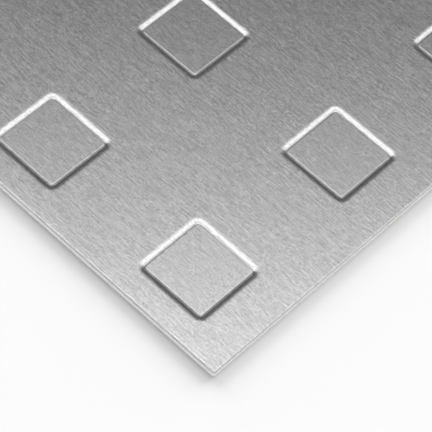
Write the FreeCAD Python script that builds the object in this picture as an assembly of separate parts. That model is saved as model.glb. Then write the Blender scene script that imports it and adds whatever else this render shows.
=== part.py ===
# Embossed metal sheet: one flat blank with a grid of squares pressed into its face.
# Every square stays level with the face and stands inside a shallow groove. The groove has
# a short steep wall on the square's side and a wide rolled shoulder on the outside.
# The back is plain and flat.
# Frame: origin under the middle of the sheet on its flat back, X along the length,
# Y across the width, Z up through the thickness. Millimetres.
import FreeCAD, Part
import math
import os

Vector = FreeCAD.Vector

# The blank
length = 500.0           # along X
width = 250.0            # along Y
thickness = 1.5          # back to face
corner_radius = 0.4      # the blank's four corners, in plan
edge_radius = 0.25       # broken edges, top and bottom

# The grid of squares
pitch_x = 31.8           # centre to centre along X
pitch_y = 31.7           # centre to centre along Y
least_border = 3.0       # flat metal kept between a shoulder and the blank's edge

# One square and the groove round it
square = 11.8            # across the level top, side to side
square_corner = 0.5      # plan radius of its corners
square_edge = 0.06       # rounding between its top and the steep wall
sink = 0.03              # top of the square below the face
groove_depth = 0.3       # face down to the bottom of the groove
groove_wall = 0.01       # plan width of the steep wall
shoulder = 1.33          # plan width of the rolled shoulder
shoulder_lead = 0.3      # how level the shoulder starts, share of its width
shoulder_tail = 0.33     # how much of its width is steep

# Worked out from the sizes above
face_level = thickness
top_level = face_level - sink
groove_level = face_level - groove_depth
reach = groove_wall + shoulder
opening = square + 2 * reach
columns = int((length - 2 * least_border - opening) / pitch_x) + 1
rows = int((width - 2 * least_border - opening) / pitch_y) + 1


def grid_centres():
    first_x = -(columns - 1) * pitch_x / 2
    first_y = -(rows - 1) * pitch_y / 2
    centres = []
    for column in range(columns):
        for row in range(rows):
            centres.append(Vector(first_x + column * pitch_x, first_y + row * pitch_y, 0))
    return centres


# A section lies in the XZ plane. Its x is counted outwards from the plan outline.
def straight(start, end):
    return Part.makeLine(Vector(start[0], 0, start[1]), Vector(end[0], 0, end[1]))


def round_arc(centre, radius, angles):
    # Angles in radians from straight up, positive outwards
    points = [Vector(centre[0] + radius * math.sin(angle), 0, centre[1] + radius * math.cos(angle))
              for angle in angles]
    return Part.Arc(*points).toShape()


def rolled_shoulder():
    # Leaves the face level and steepens towards the square
    curve = Part.BezierCurve()
    curve.setPoles([
        Vector(reach, 0, face_level),
        Vector(reach - shoulder_lead * shoulder, 0, face_level),
        Vector(groove_wall + shoulder_tail * shoulder, 0, face_level),
        Vector(groove_wall, 0, groove_level),
    ])
    return curve.toShape()


def groove_section():
    # Shoulder from the face down to the bottom, the steep wall, then the square's own edge
    wall_top = top_level - square_edge
    eighth = math.pi / 4
    return [
        rolled_shoulder(),
        straight((groove_wall, groove_level), (0, wall_top)),
        round_arc((-square_edge, wall_top), square_edge, (2 * eighth, eighth, 0)),
    ]


def rim_section():
    upper = (-edge_radius, face_level - edge_radius)
    lower = (-edge_radius, edge_radius)
    eighth = math.pi / 4
    return [
        round_arc(upper, edge_radius, (0, eighth, 2 * eighth)),
        straight((0, upper[1]), (0, lower[1])),
        round_arc(lower, edge_radius, (2 * eighth, 3 * eighth, 4 * eighth)),
    ]


def corner_axes(half_x, half_y, radius):
    reach_x = half_x - radius
    reach_y = half_y - radius
    return [Vector(reach_x, reach_y, 0), Vector(-reach_x, reach_y, 0),
            Vector(-reach_x, -reach_y, 0), Vector(reach_x, -reach_y, 0)]


def turned(edge, axis, radius, angle):
    placed = edge.copy()
    placed.translate(Vector(radius, 0, 0))
    placed.rotate(Vector(0, 0, 0), Vector(0, 0, 1), angle)
    placed.translate(axis)
    return placed


def band(section, half_x, half_y, radius):
    # The faces that a section sweeps out on its way round a rounded rectangle
    axes = corner_axes(half_x, half_y, radius)
    faces = []
    for index, axis in enumerate(axes):
        next_axis = axes[(index + 1) % 4]
        start_angle = 90 * index
        for edge in section:
            bend = turned(edge, axis, radius, start_angle)
            faces.append(bend.revolve(axis, Vector(0, 0, 1), 90))
            side = turned(edge, axis, radius, start_angle + 90)
            faces.append(side.extrude(next_axis - axis))
    return faces


def outline(half_x, half_y, radius, level, centre=Vector(0, 0, 0)):
    edges = []
    for index, axis in enumerate(corner_axes(half_x, half_y, radius)):
        middle = centre + axis + Vector(0, 0, level)
        spokes = [Vector(radius * math.cos(angle), radius * math.sin(angle), 0)
                  for angle in (math.radians(90 * index + step) for step in (0, 45, 90))]
        edges.append(Part.Arc(*[middle + spoke for spoke in spokes]).toShape())
    loop = []
    for index, arc in enumerate(edges):
        loop.append(arc)
        loop.append(Part.makeLine(arc.lastVertex().Point, edges[(index + 1) % 4].firstVertex().Point))
    return Part.Wire(loop)


def offset_outline(half_x, half_y, radius, offset, level, centre=Vector(0, 0, 0)):
    return outline(half_x + offset, half_y + offset, radius + offset, level, centre)


def grooved_square():
    # Groove and level top of the square that stands on the origin
    half = square / 2
    faces = band(groove_section(), half, half, square_corner)
    faces.append(Part.Face(offset_outline(half, half, square_corner, -square_edge, top_level)))
    return faces


def blank_outline(level):
    return offset_outline(length / 2, width / 2, corner_radius, -edge_radius, level)


def open_face(centres):
    # The face of the blank, open over every groove
    half = square / 2
    holes = [offset_outline(half, half, square_corner, reach, face_level, centre) for centre in centres]
    return Part.makeFace([blank_outline(face_level)] + holes, "Part::FaceMakerBullseye")


def embossed_sheet():
    centres = grid_centres()
    faces = band(rim_section(), length / 2, width / 2, corner_radius)
    faces.append(open_face(centres))
    faces.append(Part.Face(blank_outline(0)))
    pattern = grooved_square()
    for centre in centres:
        faces += [face.translated(centre) for face in pattern]
    skin = Part.makeCompound(faces)
    skin.sewShape(0.0001)
    solid = Part.makeSolid(skin.Shells[0])
    if solid.Volume < 0:
        solid.reverse()
    return solid


sheet = embossed_sheet()
os.makedirs("parts", exist_ok=True)
sheet.exportStep("parts/embossed_sheet.step")
print("squares", columns, "by", rows, "valid", sheet.isValid(), "closed", sheet.isClosed())
print("solids", len(sheet.Solids), "faces", len(sheet.Faces), "volume", round(sheet.Volume, 1))
print("box", sheet.BoundBox)
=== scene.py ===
# Looks of the embossed metal sheet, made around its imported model. Metres, Z up.
import bmesh
import bpy
import math
from mathutils import Matrix, Vector


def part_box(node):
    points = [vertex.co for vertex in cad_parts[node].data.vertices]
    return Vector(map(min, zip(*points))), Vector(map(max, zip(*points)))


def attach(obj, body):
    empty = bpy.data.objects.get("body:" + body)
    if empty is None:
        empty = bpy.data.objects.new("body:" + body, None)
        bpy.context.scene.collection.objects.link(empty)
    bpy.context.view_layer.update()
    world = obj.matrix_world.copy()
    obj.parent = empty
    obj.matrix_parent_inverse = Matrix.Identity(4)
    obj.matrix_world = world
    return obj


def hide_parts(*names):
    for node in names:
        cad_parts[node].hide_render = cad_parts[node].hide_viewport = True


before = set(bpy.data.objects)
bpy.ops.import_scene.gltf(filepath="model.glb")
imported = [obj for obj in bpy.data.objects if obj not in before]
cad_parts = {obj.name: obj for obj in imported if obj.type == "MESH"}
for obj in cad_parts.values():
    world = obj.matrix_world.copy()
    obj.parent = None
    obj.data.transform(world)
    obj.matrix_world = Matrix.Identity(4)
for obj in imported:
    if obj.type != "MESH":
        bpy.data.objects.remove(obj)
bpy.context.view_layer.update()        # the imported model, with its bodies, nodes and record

cadLow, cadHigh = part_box("embossed_sheet")
print("frame loaded, sheet", [round(side, 4) for side in cadHigh - cadLow])

millimetre = 0.001


class Level:
    # a number that flows between nodes, so that sums on it add Math nodes
    def __init__(self, graph, socket):
        self.graph = graph
        self.socket = socket

    def __add__(self, other):
        return self.graph.combine("ADD", self, other)

    def __radd__(self, other):
        return self.graph.combine("ADD", other, self)

    def __sub__(self, other):
        return self.graph.combine("SUBTRACT", self, other)

    def __rsub__(self, other):
        return self.graph.combine("SUBTRACT", other, self)

    def __mul__(self, other):
        return self.graph.combine("MULTIPLY", self, other)

    def __rmul__(self, other):
        return self.graph.combine("MULTIPLY", other, self)

    def __truediv__(self, other):
        return self.graph.combine("DIVIDE", self, other)


class Graph:
    # nodes of one material or world
    def __init__(self, owner):
        owner.use_nodes = True
        self.tree = owner.node_tree
        self.tree.nodes.clear()

    def add(self, kind, settings=None, sockets=None):
        node = self.tree.nodes.new(kind)
        for name, value in (settings or {}).items():
            if name == "stops":
                self.setStops(node, value)
            else:
                setattr(node, name, value)
        for name, value in (sockets or {}).items():
            if isinstance(value, Level):
                self.tree.links.new(value.socket, node.inputs[name])
            else:
                node.inputs[name].default_value = value
        return Level(self, node.outputs[0]) if node.outputs else node

    def setStops(self, node, stops):
        ramp = node.color_ramp
        while len(ramp.elements) < len(stops):
            ramp.elements.new(1.0)
        for element, (place, value) in zip(ramp.elements, stops):
            element.position = place
            element.color = (value, value, value, 1)

    def combine(self, operation, first, second):
        return self.add("ShaderNodeMath", {"operation": operation}, {0: first, 1: second})

    def pick(self, level, name):
        return Level(self, level.socket.node.outputs[name])


sheetSizes = {                # millimetres
    "pitchX": 31.8,           # centre to centre of the squares, along the length
    "pitchY": 31.7,           # across the width
    "square": 11.8,           # across the level square inside its groove
    "squareCorner": 0.5,      # plan radius of the square's corners
    "squareEdge": 0.06,       # rounding between its top and the groove's wall
    "sink": 0.03,             # square below the face
    "grooveDepth": 0.3,       # face down to the bottom of the groove
    "grooveWall": 0.01,       # plan width of the steep inner wall
    "shoulder": 1.33,         # plan width of the rolled outer side
    "shoulderLead": 0.30,     # how level the shoulder starts, share of its width
    "shoulderTail": 0.33,     # and how much of it is steep
    "edgeRadius": 0.25,       # broken edges of the blank
    "cornerRadius": 0.4,      # corners of the blank, in plan
    "leastBorder": 3.0,       # flat metal kept outside the outermost shoulders
    "flatRim": 0.06,          # narrow flat ring that keeps the flats' shading level
    "cornerSteps": 6,         # faces round a square's corner
    "shoulderSteps": 10,      # down its shoulder
    "squareEdgeSteps": 3,     # over its top edge
    "edgeSteps": 4,           # and over the blank's edges
    "crease": 35,             # degrees between faces, from which an edge stays sharp
    "upright": 80,            # degrees between faces at the blank's unbroken edges
    "flatWeight": 90,         # how far large faces lead the shading of small ones
    "weld": 0.001,            # points nearer than this are one
}


def shoulderSteps(across, down, sizes):
    # inset and rise of each step down a curve that leaves the face level and steepens inwards
    reaches = (0, sizes["shoulderLead"] * across, (1 - sizes["shoulderTail"]) * across, across)
    count = sizes["shoulderSteps"]
    points = []
    for index in range(count + 1):
        part = index / count
        rest = 1 - part
        shares = (rest ** 3, 3 * rest * rest * part, 3 * rest * part * part, part ** 3)
        points.append((sum(share * reach for share, reach in zip(shares, reaches)), -down * shares[3]))
    return [(after[0] - before[0], after[1] - before[1]) for before, after in zip(points, points[1:])]


def roundSteps(radius, count):
    # inset and rise of each step of a quarter round, from upright to level
    angles = [math.pi / 2 * index / count for index in range(count + 1)]
    return [(radius * (math.cos(low) - math.cos(high)), radius * (math.sin(high) - math.sin(low)))
            for low, high in zip(angles, angles[1:])]


def pressedCell(size, corner, steps, level, sizes):
    # one pitch of the sheet's face at its level, with the groove stepped into its middle
    cell = bmesh.new()
    bmesh.ops.create_grid(cell, x_segments=1, y_segments=1, size=size / 2)
    bmesh.ops.bevel(cell, geom=cell.verts[:], offset=corner, offset_type="OFFSET", affect="VERTICES",
                    segments=sizes["cornerSteps"], profile=0.5, material=-1)
    middle = cell.faces[:]
    for inset, rise in steps:
        bmesh.ops.inset_region(cell, faces=middle, thickness=inset, use_even_offset=True, use_boundary=True)
        bmesh.ops.translate(cell, vec=(0, 0, rise), verts=middle[0].verts[:])
    outward = bmesh.ops.extrude_edge_only(cell, edges=[edge for edge in cell.edges if edge.is_boundary])
    for vert in [item for item in outward["geom"] if isinstance(item, bmesh.types.BMVert)]:
        stretch = 0.5 / max(abs(vert.co.x), abs(vert.co.y))
        vert.co.x *= stretch * sizes["pitchX"]
        vert.co.y *= stretch * sizes["pitchY"]
    bmesh.ops.recalc_face_normals(cell, faces=cell.faces[:])
    bmesh.ops.translate(cell, vec=(0, 0, level), verts=cell.verts[:])
    return cell


def repeated(cell, columns, rows, sizes):
    # the cell laid out over the whole grid, in the middle of the frame
    alongLength = Vector((sizes["pitchX"], 0, 0))
    acrossWidth = Vector((0, sizes["pitchY"], 0))
    for count, step in ((columns, alongLength), (rows, acrossWidth)):
        original = cell.verts[:] + cell.edges[:] + cell.faces[:]
        bmesh.ops.translate(cell, vec=step * (1 - count) / 2, verts=cell.verts[:])
        for index in range(1, count):
            copy = bmesh.ops.duplicate(cell, geom=original)["geom"]
            moved = [item for item in copy if isinstance(item, bmesh.types.BMVert)]
            bmesh.ops.translate(cell, vec=step * index, verts=moved)
    bmesh.ops.remove_doubles(cell, verts=cell.verts[:], dist=sizes["weld"])


def trimmedToBlank(face, counts, blank, openingHalf, sizes):
    # the flat metal outside the outermost squares is narrowed or widened to the blank's edge
    for axis, count, full, pitch in zip((0, 1), counts, blank, (sizes["pitchX"], sizes["pitchY"])):
        inner = (count - 1) * pitch / 2 + openingHalf
        share = (full / 2 - inner) / (pitch / 2 - openingHalf)
        for vert in face.verts:
            beyond = abs(vert.co[axis]) - inner
            if beyond > 0:
                vert.co[axis] = math.copysign(inner + beyond * share, vert.co[axis])


def pressedSheet(sizes):
    length, width, height = (cadHigh - cadLow) / millimetre
    grooveReach = sizes["grooveWall"] + sizes["shoulder"]
    opening = sizes["square"] + 2 * grooveReach
    clear = 2 * sizes["leastBorder"] + opening
    columns = int((length - clear) / sizes["pitchX"]) + 1
    rows = int((width - clear) / sizes["pitchY"]) + 1
    rim = sizes["flatRim"]
    profile = [(rim, 0)]
    profile += shoulderSteps(sizes["shoulder"], sizes["grooveDepth"], sizes)
    profile.append((sizes["grooveWall"], sizes["grooveDepth"] - sizes["sink"] - sizes["squareEdge"]))
    profile += roundSteps(sizes["squareEdge"], sizes["squareEdgeSteps"]) + [(rim, 0)]
    openHalf = opening / 2 + rim
    face = pressedCell(2 * openHalf, sizes["squareCorner"] + grooveReach + rim, profile, height, sizes)
    repeated(face, columns, rows, sizes)
    trimmedToBlank(face, (columns, rows), (length, width), openHalf, sizes)
    back = bmesh.ops.extrude_edge_only(face, edges=[edge for edge in face.edges if edge.is_boundary])
    for vert in [item for item in back["geom"] if isinstance(item, bmesh.types.BMVert)]:
        vert.co.z = 0
    bmesh.ops.holes_fill(face, edges=[edge for edge in face.edges if edge.is_boundary])
    print("grid", columns, "by", rows)
    return face, length, width


def roundedEdges(shell, length, width, sizes):
    # upright corners first, then the outline of both faces
    def isOutside(point, reach):
        return abs(point.x) > length / 2 - reach or abs(point.y) > width / 2 - reach

    for radius, isLevel in ((sizes["cornerRadius"], False), (sizes["edgeRadius"], True)):
        chosen = []
        for edge in shell.edges:
            start, end = (vert.co for vert in edge.verts)
            outside = isOutside(start, sizes["cornerRadius"]) and isOutside(end, sizes["cornerRadius"])
            turned = edge.calc_face_angle(0) > math.radians(sizes["upright"])
            if outside and turned and (abs(start.z - end.z) < sizes["weld"]) == isLevel:
                chosen.append(edge)
        bmesh.ops.bevel(shell, geom=chosen, offset=radius, offset_type="OFFSET", affect="EDGES",
                        segments=sizes["edgeSteps"], profile=0.5, material=-1, clamp_overlap=False)


def makeSheet(sizes):
    shell, length, width = pressedSheet(sizes)
    roundedEdges(shell, length, width, sizes)
    bmesh.ops.recalc_face_normals(shell, faces=shell.faces[:])
    bmesh.ops.scale(shell, vec=(millimetre,) * 3, verts=shell.verts[:])
    for face in shell.faces:
        face.smooth = True
    for edge in shell.edges:
        edge.smooth = edge.calc_face_angle(0) < math.radians(sizes["crease"])
    mesh = bpy.data.meshes.new("pressedSheet")
    shell.to_mesh(mesh)
    shell.free()
    sheet = bpy.data.objects.new("pressedSheet", mesh)
    bpy.context.scene.collection.objects.link(sheet)
    weighted = sheet.modifiers.new("levelFlats", "WEIGHTED_NORMAL")
    weighted.mode = "FACE_AREA"
    weighted.weight = sizes["flatWeight"]
    weighted.keep_sharp = True
    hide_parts("embossed_sheet")
    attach(sheet, "root")
    print("sheet made,", len(mesh.polygons), "faces")
    return sheet


brushed = {
    "tone": 0.62,             # bare metal, between the streaks
    "roughness": 0.22,
    "streaks": ((11000.0, 500.0), (11000.0, 3000.0)),   # per metre, across and along the grain
    "longShare": 0.42,        # of the first, longer streaks
    "toneSwing": 1.28,        # between the darkest and the lightest possible streak
    "roughSwing": 0.12,
    "cloudScale": 14.0,       # slow unevenness of the roughness, per metre
    "cloudSwing": 0.03,
    "noiseDetail": 2.0,
    "bumpHeight": 0.000015,   # metres
    "bumpStrength": 0.5,
    "cutToneWithPaintedSheen": 1.0,           # sheared edge all round, rougher than the faces, and painted brighter as a sheen
    "cutRoughness": 0.75,
    "cutTop": 0.00108,        # metres above the back
    "cutFoot": 0.00005,
}


def brushedMetal(values):
    material = bpy.data.materials.new("brushedMetal")
    graph = Graph(material)
    place = graph.pick(graph.add("ShaderNodeTexCoord"), "Object")
    layers = []
    for across, along in values["streaks"]:
        grain = graph.add("ShaderNodeMapping", {}, {"Vector": place, "Scale": (across, along, across)})
        layers.append(graph.add("ShaderNodeTexNoise", {}, {
            "Vector": grain, "Scale": 1.0, "Detail": values["noiseDetail"]}))
    fine = layers[0] * values["longShare"] + layers[1] * (1 - values["longShare"])
    slow = graph.add("ShaderNodeTexNoise", {}, {
        "Vector": place, "Scale": values["cloudScale"], "Detail": values["noiseDetail"]})
    streak = fine - 0.5       # noise lies evenly about a half
    cloud = slow - 0.5
    height = graph.pick(graph.add("ShaderNodeSeparateXYZ", {}, {"Vector": place}), "Z")
    # mask of the sheared edge between these heights: it is rougher there, and its colour is raised as a
    # painted sheen
    belowTop = graph.combine("LESS_THAN", height, values["cutTop"])
    shearedEdgeAndPaintedSheen = belowTop * graph.combine("GREATER_THAN", height, values["cutFoot"])
    # painted sheen: the sheared edge's colour is lifted towards white to stand for the light it catches;
    # the streaks are the grain
    tone = values["tone"] + streak * values["toneSwing"] + shearedEdgeAndPaintedSheen * (values["cutToneWithPaintedSheen"] - values["tone"])
    rough = values["roughness"] + streak * values["roughSwing"] + cloud * values["cloudSwing"]
    rough = rough + shearedEdgeAndPaintedSheen * (values["cutRoughness"] - values["roughness"])
    colour = graph.add("ShaderNodeCombineColor", {}, {"Red": tone, "Green": tone, "Blue": tone})
    bump = graph.add("ShaderNodeBump", {}, {
        "Strength": values["bumpStrength"], "Distance": values["bumpHeight"], "Height": fine})
    shader = graph.add("ShaderNodeBsdfPrincipled", {}, {
        "Base Color": colour, "Metallic": 1.0, "Roughness": rough, "Normal": bump})
    graph.add("ShaderNodeOutputMaterial", {}, {"Surface": shader})
    return material


studio = {
    "floorTone": 0.5,
    "floorRoughness": 0.9,
    "floorReach": 6.0,        # metres, edge to edge
    "sunAzimuths": (2.0, 66.0),   # degrees from +X towards +Y
    "sunHeight": 22.0,        # degrees above the floor
    "sunSpread": 44.0,
    "sunPower": 4.2,
    "farAzimuth": 45.0,       # degrees from +X towards +Y, where the sky is dark low down
    "sky": [                  # share of the half turn from far to near over the top, and strength
        (0.0, 0.0), (0.06, 0.02), (0.12, 0.08),                     # dark low down, far side
        (0.20, 0.15), (0.27, 0.13), (0.30, 0.15),                   # and above it
        (0.323, 1.15), (0.36, 1.75), (0.44, 1.7), (0.47, 1.5),      # wide soft light
        (0.485, 0.6), (0.515, 0.6),                                 # gap straight above
        (0.53, 1.5), (0.68, 1.6),                                   # second soft light
        (0.74, 0.9), (0.86, 0.9), (0.89, 0.15), (1.0, 0.15),        # even behind, dark low down
    ],
    "skyPeak": 2.0,           # the ramp holds shares of this strength
    "sideGlow": 0.7,          # even grey on the left and right
    "sideStart": 0.45,        # share of the way to the side, where it starts
    "sideFull": 0.85,         # and where nothing else is left
    "backdrop": 1.0,          # white behind the floor
}


def makeFloor(values):
    plate = bmesh.new()
    bmesh.ops.create_grid(plate, x_segments=1, y_segments=1, size=values["floorReach"] / 2)
    mesh = bpy.data.meshes.new("floor")
    plate.to_mesh(mesh)
    plate.free()
    floor = bpy.data.objects.new("floor", mesh)
    bpy.context.scene.collection.objects.link(floor)
    material = bpy.data.materials.new("paleFloor")
    graph = Graph(material)
    shader = graph.add("ShaderNodeBsdfPrincipled", {}, {
        "Base Color": (values["floorTone"],) * 3 + (1,),
        "Roughness": values["floorRoughness"], "Specular IOR Level": 0.0})
    graph.add("ShaderNodeOutputMaterial", {}, {"Surface": shader})
    mesh.materials.append(material)


def makeLowSuns(values):
    # light the floor from the far side, so that the sheet's thickness leaves a soft shadow,
    # and stay out of what the metal mirrors
    for bearing in values["sunAzimuths"]:
        lamp = bpy.data.lights.new("lowSun", "SUN")
        lamp.energy = values["sunPower"]
        lamp.angle = math.radians(values["sunSpread"])
        sun = bpy.data.objects.new("lowSun", lamp)
        bpy.context.scene.collection.objects.link(sun)
        azimuth = math.radians(bearing)
        height = math.radians(values["sunHeight"])
        toward = Vector((math.cos(azimuth), math.sin(azimuth), math.tan(height)))
        sun.rotation_euler = toward.to_track_quat("Z", "Y").to_euler()
        sun.visible_glossy = False


def makeSky(values):
    # turns from the far horizon over the top to the near one, with even grey at both sides
    world = bpy.data.worlds.new("studioSky")
    bpy.context.scene.world = world
    graph = Graph(world)
    toward = graph.pick(graph.add("ShaderNodeTexCoord"), "Generated")
    azimuth = math.radians(values["farAzimuth"])
    split = graph.add("ShaderNodeSeparateXYZ", {}, {"Vector": toward})
    up = graph.pick(split, "Z")
    ahead = graph.pick(split, "X") * math.cos(azimuth) + graph.pick(split, "Y") * math.sin(azimuth)
    turn = graph.combine("ARCTAN2", up, ahead) / math.pi
    ramp = graph.add("ShaderNodeValToRGB", {
        "stops": [(place, value / values["skyPeak"]) for place, value in values["sky"]]}, {"Fac": turn})
    aside = graph.pick(split, "X") * math.sin(azimuth) - graph.pick(split, "Y") * math.cos(azimuth)
    sideways = graph.add("ShaderNodeMath", {"operation": "ABSOLUTE"}, {0: aside})
    side = graph.add("ShaderNodeMapRange", {}, {
        "Value": sideways, "From Min": values["sideStart"], "From Max": values["sideFull"]})
    along = ramp * values["skyPeak"]
    glow = along + (values["sideGlow"] - along) * side
    seen = graph.pick(graph.add("ShaderNodeLightPath"), "Is Camera Ray")
    strength = glow + seen * (values["backdrop"] - glow)
    lamp = graph.add("ShaderNodeBackground", {}, {"Color": (1, 1, 1, 1), "Strength": strength})
    graph.add("ShaderNodeOutputWorld", {}, {"Surface": lamp})


view = {
    "focal": 204.2,           # millimetres
    "sensor": 36.0,           # its width
    "nearest": 0.01,          # metres
    "place": (-4.912, -3.104, 9.755),        # in pitches from the sheet's near corner
    "right": (0.68365, -0.72057, 0.11573),
    "ahead": (0.46977, 0.31313, -0.82539),
}


def makeCamera(values, sizes):
    data = bpy.data.cameras.new("camera")
    data.lens = values["focal"]
    data.sensor_width = values["sensor"]
    data.clip_start = values["nearest"]
    camera = bpy.data.objects.new("camera", data)
    bpy.context.scene.collection.objects.link(camera)
    pitch = (sizes["pitchX"] + sizes["pitchY"]) / 2 * millimetre
    corner = Vector((cadLow.x, cadLow.y, cadHigh.z))
    ahead = Vector(values["ahead"]).normalized()
    right = Vector(values["right"]).normalized()
    upward = right.cross(ahead)
    turn = Matrix((right, upward, -ahead)).transposed()
    camera.matrix_world = Matrix.Translation(corner + Vector(values["place"]) * pitch) @ turn.to_4x4()
    bpy.context.scene.camera = camera


sheet = makeSheet(sheetSizes)
sheet.data.materials.append(brushedMetal(brushed))
makeFloor(studio)
makeSky(studio)
makeLowSuns(studio)
makeCamera(view, sheetSizes)
bpy.context.scene.view_settings.view_transform = "Standard"
print("studio and camera made")
